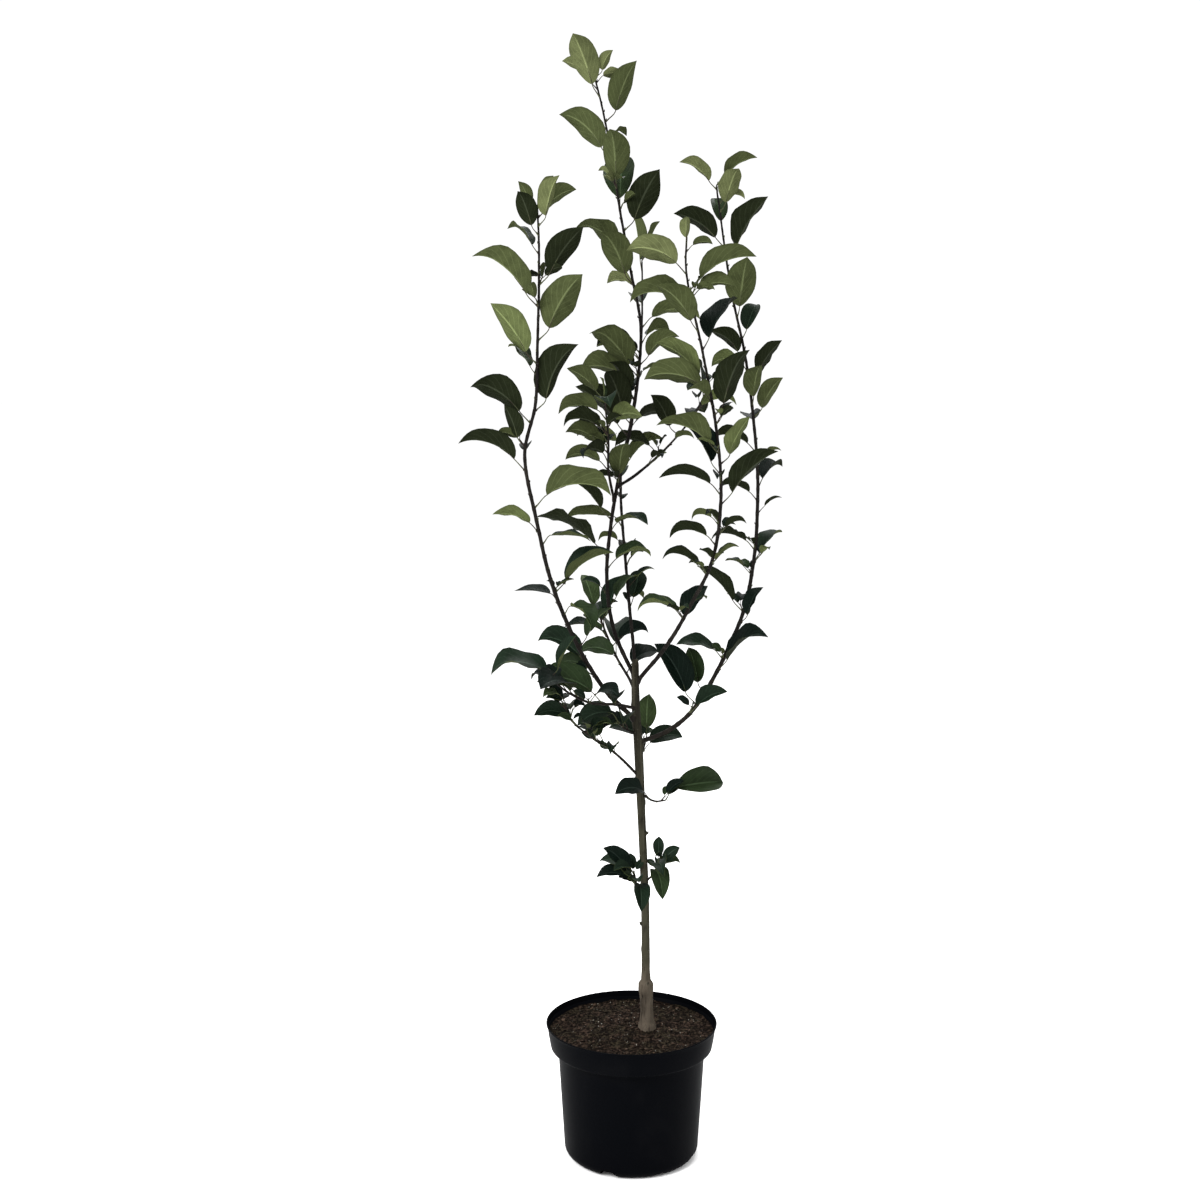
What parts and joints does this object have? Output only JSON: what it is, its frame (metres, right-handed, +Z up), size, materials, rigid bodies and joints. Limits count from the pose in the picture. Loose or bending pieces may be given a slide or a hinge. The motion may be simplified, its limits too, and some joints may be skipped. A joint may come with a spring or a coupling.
{
  "type": "potted apple tree",
  "caption": "Young grafted apple tree with upright leafy shoots, standing in a round black nursery pot filled with dark soil",
  "frame": {"origin": "the centre of the flat underside of the pot, which stands on the ground", "axes": "+Z is up along the tree, -Y is the front that the picture shows and +X is to the right seen from the front"},
  "size_m": [0.4788, 0.3465, 1.6567],
  "materials": {
    "black_plastic": "matt black moulded plastic with a faint sheen and light scuffs",
    "potting_soil": "dark crumbly potting soil with bits of bark and pale specks",
    "trunk_bark": "grey-brown bark with small pores and fine ridges",
    "shoot_bark": "smooth dark purplish-brown bark of young shoots",
    "leaf_green": "leathery green leaves, dark above and pale olive beneath"
  },
  "bodies": {
    "root": {"pot": "black_plastic", "soil": "potting_soil", "trunk": "trunk_bark", "back_bough": "shoot_bark", "central_left_bough": "shoot_bark", "central_right_bough": "shoot_bark", "far_right_bough": "shoot_bark", "front_left_bough": "shoot_bark", "inner_right_bough": "shoot_bark", "leader_bough": "shoot_bark", "left_bough": "shoot_bark", "low_left_bough": "shoot_bark", "rear_bough": "shoot_bark", "back_foliage": "leaf_green", "central_left_foliage": "leaf_green", "central_right_foliage": "leaf_green", "far_right_foliage": "leaf_green", "foot_left_foliage": "leaf_green", "foot_right_foliage": "leaf_green", "front_left_foliage": "leaf_green", "inner_right_foliage": "leaf_green", "leader_foliage": "leaf_green", "left_foliage": "leaf_green", "low_back_foliage": "leaf_green", "low_left_foliage": "leaf_green", "low_right_foliage": "leaf_green", "mid_left_foliage": "leaf_green", "rear_foliage": "leaf_green"}
  },
  "joints": []
}
